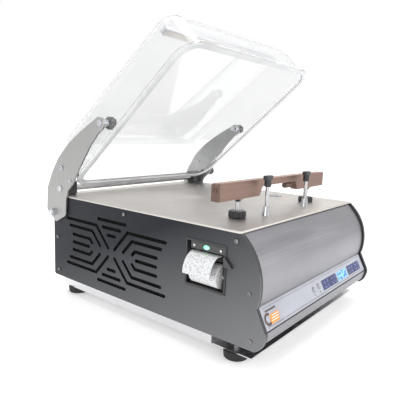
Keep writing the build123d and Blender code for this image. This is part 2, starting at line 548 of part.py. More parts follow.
rim_knob -= rod("X", (0, ry(rim_fix[0]), rz(rim_fix[1])), REACH - 0.8, 2.0 + RUN)
node("lid_knobs", group([left_knob, right_knob, rim_knob]))

# ---------------------------------------------------------------- lid springs, in the recess behind the rear panel
SPRING_X, SPRING_Y, SPRING_R, SPRING_WIRE = 196.0, 460.0, 6.3, 1.1
ANCHOR_Z, SPRING_TOP, SPRING_LOW = -150.0, -50.0, -138.0


def spring(x, y, z0, z1, r, wire, turns):
    """Close-wound spring along Z: a sleeve whose outside is one round ridge for each turn."""
    pitch = (z1 - z0) / turns
    lines = [Line((r - wire, 0), (r, 0))]
    for i in range(turns):
        z = i * pitch
        lines.append(ThreePointArc((r, z), (r + wire, z + pitch / 2), (r, z + pitch)))
    lines += [Line((r, z1 - z0), (r - wire, z1 - z0)), Line((r - wire, z1 - z0), (r - wire, 0))]
    return Pos(x, y, z0) * revolve(Plane.XZ * make_face(lines), Axis.Z)


def hook(x, y, z, bore, wire, up):
    """Rolled eye round a pin along X, with a leg towards the coil."""
    eye = tube("X", (x - wire, y, z), 2 * wire, bore + 2 * wire, bore)
    return eye + rod("Z", (x, y, z + (bore + wire if up else -bore - wire - 8)), 8.0, wire * 0.95)


coil = spring(SPRING_X, ry(SPRING_Y), rz(SPRING_LOW), rz(SPRING_TOP), SPRING_R, SPRING_WIRE, 30)
top = hook(SPRING_X, ry(ARM_TAIL_Y), rz(ARM_TAIL_Z), 3.3, SPRING_WIRE, False)
low = hook(SPRING_X, ry(SPRING_Y), rz(ANCHOR_Z), 3.4, SPRING_WIRE, True)
cross_top = rod("Y", (SPRING_X, ry(SPRING_Y - 2.5), rz(SPRING_TOP)), SPRING_R + 2.5, SPRING_WIRE)
cross_low = rod("Y", (SPRING_X, ry(SPRING_Y - 1), rz(SPRING_LOW)), SPRING_R + 1, SPRING_WIRE)
whole = group([coil, top + cross_top, low + cross_low])
node("lid_springs", group([whole, mirror_x(whole)]))
anchor = box(182, 184, ry(REAR_Y + SHEET_T), ry(466), rz(ANCHOR_Z - 10), rz(ANCHOR_Z + 10))
anchor += box(172, 184, ry(REAR_Y + SHEET_T), ry(REAR_Y + SHEET_T + 2), rz(ANCHOR_Z - 10),
              rz(ANCHOR_Z + 10))
anchor += rod("X", (183, ry(SPRING_Y), rz(ANCHOR_Z)), 20, 3.0)
spring_anchors = [anchor, mirror_x(anchor)]

# ---------------------------------------------------------------- sealing bar
LIFT = 8.0
bar = box(-BAR_LENGTH / 2, BAR_LENGTH / 2, ry(BAR_Y - BAR_T / 2), ry(BAR_Y + BAR_T / 2),
          rz(BAR_TOP - BAR_TALL),
          rz(BAR_TOP))
BLOCK_END = BAR_LENGTH / 2 - 0.31 * BAR_LENGTH     # inner end of the tall blocks
low, thin = rz(BAR_TOP - BAR_TALL), rz(BAR_TOP - BAR_THIN)
notch_lines = Line((-BLOCK_END, low - 1), (-BLOCK_END, low))
notch_lines += [Line((-BLOCK_END, low), (-BLOCK_END + 5, low + 7)),
                ThreePointArc((-BLOCK_END + 5, low + 7), (-BLOCK_END + 9, thin - 2.5),
                              (-BLOCK_END + 18, thin)),
                Line((-BLOCK_END + 18, thin), (BLOCK_END - 18, thin)),
                ThreePointArc((BLOCK_END - 18, thin), (BLOCK_END - 9, thin - 2.5),
                              (BLOCK_END - 5, low + 7)),
                Line((BLOCK_END - 5, low + 7), (BLOCK_END, low)),
                Line((BLOCK_END, low), (BLOCK_END, low - 1)),
                Line((BLOCK_END, low - 1), (-BLOCK_END, low - 1))]
relief = extrude(Plane.XZ * make_face(notch_lines), 400, both=True)
bar -= relief
bar -= box(-BAR_LENGTH, BAR_LENGTH, ry(BAR_Y - 3.0), ry(BAR_Y + 3.0), rz(BAR_TOP - 1.2), rz(BAR_TOP + 5))
for side in (-1, 1):
    bar -= rod("Z", (side * BAR_POST_X, ry(BAR_Y), low - 1), 13, BAR_POST_R)
    bar -= rod("X", (side * BAR_LENGTH / 2 - 9, ry(BAR_Y), rz(BAR_TOP - 11)), 18, 2.0)
node("sealing_bar", bar)
element = box(-BAR_LENGTH / 2, BAR_LENGTH / 2, ry(BAR_Y - 2.9), ry(BAR_Y + 2.9), rz(BAR_TOP - 1.2),
              rz(BAR_TOP - 0.2))
tape = box(-BAR_LENGTH / 2 + 6, BAR_LENGTH / 2 - 6, ry(BAR_Y - BAR_T / 2 + 0.5),
           ry(BAR_Y + BAR_T / 2 - 0.5), rz(BAR_TOP),
           rz(BAR_TOP + 0.3))
node("heating_element", group([element, tape]))
terminals = []
for side in (-1, 1):
    x = side * (BAR_LENGTH / 2 + 1.5)
    plate_end = box(x - 1.5, x + 1.5, ry(BAR_Y - BAR_T / 2 + 0.4), ry(BAR_Y + BAR_T / 2 - 0.4),
                    rz(BAR_TOP - BAR_TALL + 0.5), rz(BAR_TOP - 1.4))
    terminals.append(plate_end - rod("X", (x - 3, ry(BAR_Y), rz(BAR_TOP - 11)), 6, 2.0))
tips = [pan_screw("X", (BAR_LENGTH / 2 + 3, ry(BAR_Y), rz(BAR_TOP - 11)), 4.0, 2.2)
        + rod("X", (BAR_LENGTH / 2 - 8, ry(BAR_Y), rz(BAR_TOP - 11)), 11.2, 1.95)]
plug = rod("X", (BLOCK_END - 44, ry(BAR_Y - 1), thin - 6.0), 20.0, 5.6)
plug = fillet(plug.edges(), 1.2)
node("bar_terminals", group(terminals + tips + [mirror_x(t) for t in tips] + [plug]))
POST_LOW = -34.0
bar_posts = []
for side in (-1, 1):
    x, y = side * BAR_POST_X, ry(BAR_Y)
    post = rod("Z", (x, y, rz(POST_LOW)), low + 11 - rz(POST_LOW), BAR_POST_R - 0.02)
    post += Pos(x, y, low - 2.5) * Cone(5.0, 8.5, 5.0)
    bar_posts.append(post)
CYLINDER_R, PISTON_R = 18.0, 14.5
pistons, cylinders, bushes = [], [], []
for side in (-1, 1):
    x, y = side * BAR_POST_X, ry(BAR_Y)
    pistons.append(rod("Z", (x, y, rz(POST_LOW) - 6), 6.0, PISTON_R))
    cylinder = rod("Z", (x, y, rz(-62)), 62 - PLATE_T - 0.2, CYLINDER_R)
    cylinder -= rod("Z", (x, y, rz(-58)), 58 - PLATE_T - 5, PISTON_R + 0.3)
    cylinder -= rod("Z", (x, y, rz(-20)), 40, 8.2)
    cylinder += rod("Y", (x, y + CYLINDER_R - 1, rz(-50)), 9, 3.5)
    cylinders.append(cylinder)
    bush = tube("Z", (x, y, rz(-12)), 24.0, 6.0, BAR_POST_R + RUN - 0.02)
    bush += tube("Z", (x, y, rz(-12)), 12.0, BAR_POST_R + 3.95, BAR_POST_R + RUN - 0.02)
    bushes.append(bush)
node("bar_posts", group(bar_posts + pistons))
node("bar_lift_cylinders", group(cylinders))
for name, side in (("left_bar_knob", -1), ("right_bar_knob", 1)):
    knob = lobed_knob("Z", (side * BAR_POST_X, ry(BAR_Y), rz(0.3)), 11.0, 15.0, 5)
    node(name, knob - rod("Z", (side * BAR_POST_X, ry(BAR_Y), 0), 400, 6.0 + RUN))

# ---------------------------------------------------------------- bag clamps
CLAMP_HEAD_Z, CLAMP_HEAD_L = 62.5, 22.0
collars, clamp_springs = [], []
for name, side in (("left", -1), ("right", 1)):
    x, y = side * CLAMP_X, ry(CLAMP_Y)
    clamp_rod = rod("Z", (x, y, rz(-34)), CLAMP_HEAD_Z - 3 + 34, CLAMP_ROD_R)
    clamp_rod += rod("Z", (x, y, rz(-34)), 2.0, 6.0)
    node(name + "_clamp_rod", clamp_rod)
    head = rod("Z", (x, y, rz(50)), CLAMP_HEAD_Z - 50 + 1, 6.0)
    head = chamfer(head.edges().group_by(Axis.Z)[0], 1.0)
    cap = box(x - CLAMP_HEAD_L / 2, x + CLAMP_HEAD_L / 2, y - 5, y + 5, rz(CLAMP_HEAD_Z),
              rz(CLAMP_HEAD_Z + 7), 4.0)
    cap = fillet(cap.edges().group_by(Axis.Z)[-1], 1.5)
    head += cap
    head -= rod("Z", (x, y, rz(40)), CLAMP_HEAD_Z - 3 - 40 + 0.1, CLAMP_ROD_R + RUN)
    node(name + "_clamp_head", head)
    collar = Pos(x, y, rz(8)) * Cone(8.0, 5.6, 16.0) + rod("Z", (x, y, rz(-8)), 8.0, 6.9)
    collars.append(collar - rod("Z", (x, y, rz(-20)), 50, CLAMP_ROD_R + RUN))
    clamp_springs.append(spring(x, y, rz(-31), rz(-9), 5.0, 0.7, 9))
node("plate_bushes", group(bushes + collars))
node("clamp_springs", group(clamp_springs))

# ---------------------------------------------------------------- label printer in the left panel
PX = -WIDTH / 2                                  # outer face of the left panel
PY0, PY1 = PRINTER_Y - PRINTER_W / 2, PRINTER_Y + PRINTER_W / 2
PZ0, PZ1 = PRINTER_Z - PRINTER_H / 2, PRINTER_Z + PRINTER_H / 2
bezel = box(PX - 1.2, PX + 8, ry(PY0 + 0.2), ry(PY1 - 0.2), rz(PZ0 + 0.2), rz(PZ1 - 0.2))
bezel += box(PX - 1.2, PX - 0.2, ry(PY0 - 1), ry(PY1 + 1), rz(PZ0 - 1), rz(PZ1 + 1))
bezel -= box(PX - 5, PX + 12, ry(PY0 + 2.6), ry(PY1 - 2.6), rz(PZ0 + 2.6), rz(PZ1 - 2.6))
LEVER_PIN = (24.2, -54.0)
bezel -= rod("X", (PX - 5, ry(LEVER_PIN[0]), rz(LEVER_PIN[1])), 12, 1.0 + RUN)
node("printer_bezel", bezel)
tray = box(PX + 8.2, PX + 60, ry(PY0 + 1), ry(PY1 - 1), rz(PZ0 + 1), rz(PZ1 - 1))
tray -= box(PX, PX + 58, ry(PY0 + 3), ry(PY1 - 3), rz(PZ0 + 3), rz(PZ1 - 3))
ROLL_Y0, ROLL_Y1 = PRINTER_Y - PAPER_W / 2, PRINTER_Y + PAPER_W / 2
ROLL_X, ROLL_Z = PX + 12.0, -79.0
for y0, y1 in ((PY0 + 3, ROLL_Y0 - 1.0), (ROLL_Y1 + 1.0, PY1 - 3)):      # cheeks that carry the roll's core
    cheek = box(PX + 8.2, PX + 40, ry(y0), ry(y1), rz(PZ0 + 3), rz(-60))
    tray += cheek
tray -= rod("Y", (ROLL_X, ry(PY0), rz(ROLL_Z)), PRINTER_W, 4.0 + RUN)
node("printer_chassis", tray)
core = rod("Y", (ROLL_X, ry(ROLL_Y0 - 6), rz(ROLL_Z)), PAPER_W + 12, 4.0)
roll = tube("Y", (ROLL_X, ry(ROLL_Y0), rz(ROLL_Z)), PAPER_W, ROLL_R, 4.0)
for i in range(3):                               # wound edges of the paper show as fine steps
    step = tube("Y", (ROLL_X, ry(ROLL_Y0) - 0.1, rz(ROLL_Z)), 0.4, 8.0 + 3.5 * i + 0.6, 8.0 + 3.5 * i)
    roll -= step
node("paper_roll", group([roll, core]))
PLATEN_X, PLATEN_Z, PLATEN_R = PX + 10.0, -51.0, 4.5
platen = rod("Y", (PLATEN_X, ry(ROLL_Y0 - 1), rz(PLATEN_Z)), PAPER_W + 2, PLATEN_R)
platen += rod("Y", (PLATEN_X, ry(PY0 + 4), rz(PLATEN_Z)), PRINTER_W - 8, 1.8)
node("platen_roller", platen)
arms = []
for y0, y1 in ((PY0 + 3.0, ROLL_Y0 - 2.5), (ROLL_Y1 + 2.5, PY1 - 3.0)):
    ear = box(PLATEN_X - 4, PLATEN_X + 12, ry(y0), ry(y1), rz(PLATEN_Z - 5), rz(PLATEN_Z + 5))
    arms.append(ear)
head_block = box(PX + 17, PX + 22, ry(PY0 + 3), ry(PY1 - 3), rz(-56), rz(-44))
for ear in arms:
    head_block += ear
head_block -= rod("Y", (PLATEN_X, ry(PY0), rz(PLATEN_Z)), PRINTER_W, 1.8 + RUN)
node("print_head", head_block)
board = box(PX + 4.5, PX + 6.1, ry(PY0 + 4), ry(PY1 - 6), rz(-42.5), rz(PZ1 - 4))
board += box(PX + 6.1, PX + 18, ry(PY0 + 12), ry(PY1 - 14), rz(-38), rz(-36.4))
node("printer_board", board)
curl = Line((PX + 9, rz(-46.0)), (PX - 5, rz(-45.6)))
curl += ThreePointArc((PX - 5, rz(-45.6)), (PX - 15.5, rz(-54.0)), (-REACH + 0.3, rz(-76.0)))
node("paper_strip", paper_ribbon(curl))

lever = yz_poly([p(24.6, -41), p(24.6, -58), p(8.5, -57)], PX - 4.5, PX - 1.5, 1.0)
lever += rod("X", (PX - 2, ry(LEVER_PIN[0]), rz(LEVER_PIN[1])), 6.0, 1.0)
node("printer_lever", lever)

# ---------------------------------------------------------------- inside the cabinet
FLOOR = FOOT_H + SHEET_T
port = tube("Z", (PORT_X, ry(PORT_Y), rz(-22)), 22.0, PORT_R - 0.1, 6.5)
port += tube("Z", (PORT_X, ry(PORT_Y), rz(0)), 2.0, 14.0, 6.5)
for i in range(3):
    port += rod("X", (PORT_X - 7, ry(PORT_Y - 3.5 + 3.5 * i), rz(1)), 14, 0.8)
node("suction_port", port)

PUMP_X, PUMP_Y, PUMP_Z, MOTOR_R = -95.0, 300.0, 92.0, 50.0
pump = soft_box(PUMP_X - 50, PUMP_X + 50, ry(PUMP_Y - 65), ry(PUMP_Y + 65), FLOOR + 12, 146, 8.0)
for i in range(7):                               # cooling fins along the casting
    y = ry(PUMP_Y - 54 + 18 * i)
    pump -= box(PUMP_X - 52, PUMP_X - 40, y - 4, y + 4, FLOOR + 24, 134)
    pump -= box(PUMP_X - 36, PUMP_X + 36, y - 4, y + 4, 138, 150)
pump += tube("Z", (PUMP_X, ry(PUMP_Y), 130), 24.0, 11.0, 6.5)
pump += rod("X", (PUMP_X + 40, ry(PUMP_Y), PUMP_Z), 30.0, 34.0)
node("vacuum_pump", pump)
MOTOR_X0, MOTOR_X1 = PUMP_X + 70.2, 112.0
motor = rod("X", (MOTOR_X0, ry(PUMP_Y), PUMP_Z), MOTOR_X1 - MOTOR_X0, MOTOR_R - 3)
for i in range(11):
    motor += rod("X", (MOTOR_X0 + 8 + 11 * i, ry(PUMP_Y), PUMP_Z), 4.0, MOTOR_R)
motor += box(MOTOR_X0 + 30, MOTOR_X0 + 90, ry(PUMP_Y - 25), ry(PUMP_Y + 25), PUMP_Z + 40, PUMP_Z + 66)
motor -= rod("X", (MOTOR_X1 - 20, ry(PUMP_Y), PUMP_Z), 30, 6.0 + RUN)
fan = rod("X", (MOTOR_X1 - 18, ry(PUMP_Y), PUMP_Z), 36, 6.0)
fan += rod("X", (MOTOR_X1 + 4, ry(PUMP_Y), PUMP_Z), 12, 12.0)
for i in range(7):
    blade = Pos(MOTOR_X1 + 10, 0, 0) * Rot(0, 0, 35) * Box(2.0, 14, 32)
    blade = Rot(360.0 * i / 7, 0, 0) * Pos(0, 0, 26) * blade
    fan += Pos(0, ry(PUMP_Y), PUMP_Z) * blade
node("motor_fan", fan)
shroud = tube("X", (MOTOR_X1 + 0.2, ry(PUMP_Y), PUMP_Z), 24.0, MOTOR_R, MOTOR_R - 2)
shroud += tube("X", (MOTOR_X1 + 0.2, ry(PUMP_Y), PUMP_Z), 2.0, MOTOR_R, MOTOR_R - 6)
grille = rod("X", (MOTOR_X1 + 22.2, ry(PUMP_Y), PUMP_Z), 2.0, MOTOR_R)
for i in range(4):
    grille -= tube("X", (MOTOR_X1 + 20, ry(PUMP_Y), PUMP_Z), 6.0, 18 + 9.0 * i, 13 + 9.0 * i)
for angle in (0, 60, 120):
    spoke = Pos(MOTOR_X1 + 23.2, ry(PUMP_Y), PUMP_Z) * Rot(angle, 0, 0) * Box(2, 4, 2 * MOTOR_R - 4)
    grille += spoke
mounts = [rod("Z", (PUMP_X + dx, ry(PUMP_Y + dy), FLOOR), 12.0, 8.0)
          for dx in (-36, 36) for dy in (-50, 50)]
mounts += [box(60, 80, ry(PUMP_Y - 18), ry(PUMP_Y + 18), FLOOR, PUMP_Z - MOTOR_R + 1) - rod(
    "X", (0, ry(PUMP_Y), PUMP_Z), 200, MOTOR_R + 0.05)]
node("pump_motor", group([motor, shroud + grille] + mounts))

hose_line = FilletPolyline((PORT_X, ry(PORT_Y), rz(-22.2)), (PORT_X, ry(PORT_Y), 169),
                           (PUMP_X, ry(PUMP_Y), 169),
                           (PUMP_X, ry(PUMP_Y), 154.2), radius=13)
hose_end = Plane(origin=hose_line @ 0, z_dir=hose_line % 0)
node("vacuum_hose", sweep(hose_end * (Circle(9.0) - Circle(6.5)), hose_line))

board = box(-192, -72, ry(112), ry(196), FLOOR + 10, FLOOR + 11.6)
for x, y in ((-186, 118), (-78, 118), (-186, 190), (-78, 190)):
    board += rod("Z", (x, ry(y), FLOOR + 0.2), 12.0, 3.0)
for x0, y0, w, d, h in ((-180, 126, 26, 20, 18), (-148, 124, 16, 16, 24), (-126, 128, 30, 24, 14),
                        (-182, 158, 40, 14, 12), (-130, 164, 18, 18, 20), (-104, 160, 20, 26, 10)):
    board += box(x0, x0 + w, ry(y0), ry(y0 + d), FLOOR + 11, FLOOR + 11.6 + h)
node("power_board", board)
core = box(96, 176, ry(112), ry(150), FLOOR + 0.2, FLOOR + 64)
core -= box(112, 160, ry(100), ry(160), FLOOR + 14, FLOOR + 50)
winding = soft_box(126.5, 145.5, ry(104), ry(158), FLOOR + 14.2, FLOOR + 49.8, 4.0)
node("transformer", group([core, winding]))
valve = box(150, 186, ry(392), ry(428), 90, 126) + rod("Z", (168, ry(410), 126), 34.0, 13.0)
valve += rod("X", (134, ry(410), 104), 20.0, 6.0) + box(156, 180, ry(402), ry(418), FLOOR + 0.2, 91)
node("release_valve", valve)
stays = []
for y in (104.0, 350.0):
    stay = box(-205, 205, ry(y), ry(y + 14), rz(-PLATE_T - 14), rz(-PLATE_T) - 0.1)
    stays.append(stay - box(-206, 206, ry(y + SHEET_T), ry(y + 15), rz(-PLATE_T - 15),
                            rz(-PLATE_T - SHEET_T)))
node("plate_stays", group(stays + spring_anchors))

# ---------------------------------------------------------------- files
os.makedirs("parts", exist_ok=True)
for name, shape in NODES.items():
    export_step(shape, os.path.join("parts", name + ".step"))
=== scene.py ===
"""Looks of the table-top vacuum packing machine: materials, printed graphics, studio light and camera.

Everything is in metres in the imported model's frame: +Z up, the control strip faces -Y,
+X is the viewer's right.
"""
import math

import bmesh
import bpy
from mathutils import Matrix, Vector


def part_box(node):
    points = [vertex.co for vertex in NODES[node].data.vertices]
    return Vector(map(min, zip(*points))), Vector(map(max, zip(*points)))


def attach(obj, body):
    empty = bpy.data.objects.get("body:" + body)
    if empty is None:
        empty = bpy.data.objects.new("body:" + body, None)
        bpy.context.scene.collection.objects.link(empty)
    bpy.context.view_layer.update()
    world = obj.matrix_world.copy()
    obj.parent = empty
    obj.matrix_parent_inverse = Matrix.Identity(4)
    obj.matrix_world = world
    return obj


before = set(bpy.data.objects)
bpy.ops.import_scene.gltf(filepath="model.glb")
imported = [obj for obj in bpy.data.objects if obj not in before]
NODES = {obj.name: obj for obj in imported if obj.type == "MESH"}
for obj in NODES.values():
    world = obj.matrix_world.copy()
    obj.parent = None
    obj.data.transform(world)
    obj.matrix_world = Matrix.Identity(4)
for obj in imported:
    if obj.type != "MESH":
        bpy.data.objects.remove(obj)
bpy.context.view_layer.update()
MM = 0.001
PLATE_LOW, PLATE_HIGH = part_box("chamber_plate")
PLATE_TOP = PLATE_HIGH.z                       # the chamber plate's top face
PLATE_FRONT = PLATE_LOW.y                      # and its front edge


# ---------------------------------------------------------------- shader helpers
class Shader:
    """A node material that is built step by step, in object coordinates in metres."""

    def __init__(self, name):
        self.material = bpy.data.materials.new(name)
        self.material.use_nodes = True
        self.tree = self.material.node_tree
        self.bsdf = self.tree.nodes["Principled BSDF"]
        self.place = self.node("ShaderNodeTexCoord").outputs["Object"]

    def node(self, kind, **values):
        made = self.tree.nodes.new(kind)
        for key, value in values.items():
            if hasattr(made, key):
                setattr(made, key, value)
            else:
                made.inputs[key.replace("_", " ")].default_value = value
        return made

    def link(self, a, b):
        self.tree.links.new(a, b)

    def scaled(self, x, y, z):
        """Object coordinates stretched along each axis."""
        mapping = self.node("ShaderNodeMapping")
        mapping.inputs["Scale"].default_value = (x, y, z)
        self.link(self.place, mapping.inputs["Vector"])
        return mapping.outputs["Vector"]

    def noise(self, vector, scale, detail=3.0, roughness=0.55):
        made = self.node("ShaderNodeTexNoise")
        made.inputs["Scale"].default_value = scale
        made.inputs["Detail"].default_value = detail
        made.inputs["Roughness"].default_value = roughness
        self.link(vector, made.inputs["Vector"])
        return made.outputs["Fac"]

    def remap(self, value, low, high, to_low, to_high):
        made = self.node("ShaderNodeMapRange")
        made.inputs["From Min"].default_value = low
        made.inputs["From Max"].default_value = high
        made.inputs["To Min"].default_value = to_low
        made.inputs["To Max"].default_value = to_high
        self.link(value, made.inputs["Value"])
        return made.outputs["Result"]

    def maths(self, operation, a, b=0.0):
        made = self.node("ShaderNodeMath", operation=operation)
        for socket, value in zip(made.inputs, (a, b)):
            if isinstance(value, (int, float)):
                socket.default_value = value
            else:
                self.link(value, socket)
        return made.outputs["Value"]

    def mix(self, factor, a, b):
        """Colour between a and b; each may be a colour or a socket."""
        made = self.node("ShaderNodeMix", data_type="RGBA")
        if isinstance(factor, (int, float)):
            made.inputs["Factor"].default_value = factor
        else:
            self.link(factor, made.inputs["Factor"])
        for socket, value in ((made.inputs[6], a), (made.inputs[7], b)):
            if isinstance(value, tuple):
                socket.default_value = (*value, 1.0)
            else:
                self.link(value, socket)
        return made.outputs[2]

    def bump(self, height, strength, distance):
        made = self.node("ShaderNodeBump")
        made.inputs["Strength"].default_value = strength
        made.inputs["Distance"].default_value = distance
        self.link(height, made.inputs["Height"])
        self.link(made.outputs["Normal"], self.bsdf.inputs["Normal"])

    def put(self, **inputs):
        """Set inputs of the main shader by name, from values or sockets."""
        for key, value in inputs.items():
            socket = self.bsdf.inputs[key.replace("_", " ")]
            if isinstance(value, bpy.types.NodeSocket):
                self.link(value, socket)
            elif isinstance(value, tuple):
                socket.default_value = (*value, 1.0) if len(value) == 3 else value
            else:
                socket.default_value = value
        return self


def brushed(name, dark, light, along, rough=0.3, lines=900.0, depth=0.25):
    """Brushed metal: long fine scratches along one axis, with a slow change of tone."""
    s = Shader(name)
    stretch = [lines if axis != along else 6.0 for axis in "xyz"]
    scratches = s.noise(s.scaled(*stretch), 1.0, 4.0, 0.7)
    cloud = s.noise(s.place, 7.0, 2.0)
    tone = s.maths("ADD", s.maths("MULTIPLY", scratches, 0.65), s.maths("MULTIPLY", cloud, 0.35))
    s.put(Base_Color=s.mix(s.remap(tone, 0.3, 0.7, 0.0, 1.0), dark, light), Metallic=1.0,
          Roughness=s.remap(scratches, 0.25, 0.75, rough - 0.06, rough + 0.1), Anisotropic=0.5)
    s.bump(scratches, depth, 0.00003)
    return s.material


def metal(name, dark, light, rough, grain=220.0):
    """Plain metal with faint handling marks."""
    s = Shader(name)
    marks = s.noise(s.place, grain, 5.0, 0.6)
    cloud = s.noise(s.place, 30.0, 2.0)
    s.put(Base_Color=s.mix(s.remap(cloud, 0.3, 0.7, 0.0, 1.0), dark, light), Metallic=1.0,
          Roughness=s.remap(marks, 0.3, 0.7, max(rough - 0.05, 0.03), rough + 0.08))
    s.bump(marks, 0.08, 0.00004)
    return s.material


def plastic(name, dark, light, rough, grain=1400.0, depth=0.2, coat=0.0):
    """Moulded plastic, rubber or paint with a fine grain."""
    s = Shader(name)
    fine = s.noise(s.place, grain, 2.0)
    cloud = s.noise(s.place, 18.0, 3.0)
    s.put(Base_Color=s.mix(s.remap(cloud, 0.3, 0.7, 0.0, 1.0), dark, light),
          Roughness=s.remap(cloud, 0.3, 0.7, rough - 0.04, rough + 0.06), Coat_Weight=coat,
          Coat_Roughness=0.15)
    s.bump(fine, depth, 0.00006)
    return s.material


def panel_lacquer_painted_reflection():
    """Dark satin metallic lacquer with a painted reflection in its colour: navy black at the rear and top,
    painted greyer towards the lower front.
    """
    s = Shader("cabinet_lacquer_painted_reflection")
    split = s.node("ShaderNodeSeparateXYZ")
    s.link(s.place, split.inputs["Vector"])
    low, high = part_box("left_side_panel")
    # Painted reflection: a ramp across the panel that grows towards the front and the bottom.
    forward = s.remap(split.outputs["Y"], low.y, high.y, 1.0, 0.0)
    down = s.remap(split.outputs["Z"], low.z, high.z, 1.0, 0.0)
    painted_reflection = s.maths("ADD", s.maths("MULTIPLY", forward, 0.62), s.maths("MULTIPLY", down, 0.50))
    painted_reflection = s.remap(painted_reflection, 0.42, 1.10, 0.0, 1.0)
    flakes = s.noise(s.place, 2600.0, 1.0)
    # The painted reflection turns the navy black lacquer mid grey at the lower front.
    tone = s.mix(painted_reflection, (0.002, 0.004, 0.009), (0.17, 0.172, 0.175))
    s.put(Base_Color=s.mix(s.remap(flakes, 0.45, 0.75, 0.0, 0.08), tone, (0.20, 0.20, 0.22)), Metallic=0.45,
          Roughness=s.remap(s.noise(s.place, 60.0, 3.0), 0.3, 0.7, 0.36, 0.46), Coat_Weight=0.06,
          Coat_Roughness=0.25, Specular_IOR_Level=0.35)
    s.bump(s.noise(s.place, 420.0, 2.0), 0.06, 0.0001)
    return s.material


def clear_acrylic():
    """Clear moulded sheet: bright at grazing angles, with faint clouding and hairline scratches."""
    s = Shader("clear_acrylic")
    scratches = s.noise(s.scaled(900.0, 14.0, 14.0), 1.0, 3.0, 0.7)
    cloud = s.noise(s.place, 9.0, 3.0)
    s.put(Base_Color=(0.96, 0.965, 0.97), Transmission_Weight=0.93, IOR=1.40,
          Roughness=s.remap(cloud, 0.3, 0.7, 0.01, 0.05))
    s.bump(scratches, 0.03, 0.00002)
    return s.material


def paper_sheet():
    s = Shader("thermal_paper")
    fibre = s.noise(s.place, 900.0, 5.0, 0.7)
    blank = s.mix(s.remap(fibre, 0.3, 0.7, 0.0, 1.0), (0.62, 0.62, 0.63), (0.74, 0.74, 0.74))
    print_marks = s.noise(s.scaled(1.0, 1.6, 1.0), 420.0, 2.0, 0.8)
    s.put(Base_Color=s.mix(s.remap(print_marks, 0.52, 0.60, 0.0, 0.75), blank, (0.16, 0.16, 0.17)),
          Roughness=0.55, Subsurface_Weight=0.05)
    s.bump(fibre, 0.12, 0.00005)
    return s.material


def glow(name, colour, strength, under=(0.02, 0.02, 0.02)):
    s = Shader(name)
    cloud = s.noise(s.place, 260.0, 2.0)
    s.put(Base_Color=under, Emission_Color=s.mix(s.remap(cloud, 0.3, 0.7, 0.0, 0.35), colour,
                                                 (1.0, 1.0, 1.0)),
          Emission_Strength=strength, Roughness=0.25)
    return s.material


def display_film():
    """Lit display: cyan with darker blocks of segments."""
    s = Shader("display_film")
    split = s.node("ShaderNodeSeparateXYZ")
    s.link(s.place, split.inputs["Vector"])
    blots = s.noise(s.scaled(150.0, 40.0, 230.0), 1.0, 1.0)
    tone = s.mix(s.remap(blots, 0.50, 0.60, 0.0, 1.0), (0.25, 0.72, 1.0), (0.02, 0.16, 0.62))
    s.put(Base_Color=(0.02, 0.05, 0.10), Emission_Color=tone, Emission_Strength=1.0, Roughness=0.12,
          Coat_Weight=0.6, Coat_Roughness=0.05)
    return s.material


def circuit_board():
    s = Shader("circuit_lacquer")
    tracks = s.node("ShaderNodeTexVoronoi", feature="DISTANCE_TO_EDGE")
    tracks.inputs["Scale"].default_value = 170.0
    s.link(s.place, tracks.inputs["Vector"])
    line = s.remap(tracks.outputs["Distance"], 0.04, 0.10, 1.0, 0.0)
    s.put(Base_Color=s.mix(line, (0.015, 0.10, 0.05), (0.06, 0.26, 0.12)), Roughness=0.28, Coat_Weight=0.4)
    s.bump(line, 0.2, 0.00005)
    return s.material


def casting():
    s = Shader("painted_casting")
    sand = s.noise(s.place, 520.0, 5.0, 0.65)
    cloud = s.noise(s.place, 22.0, 3.0)
    s.put(Base_Color=s.mix(s.remap(cloud, 0.3, 0.7, 0.0, 1.0), (0.10, 0.11, 0.12), (0.17, 0.18, 0.20)),
          Metallic=0.3, Roughness=0.55)
    s.bump(sand, 0.5, 0.0002)
    return s.material


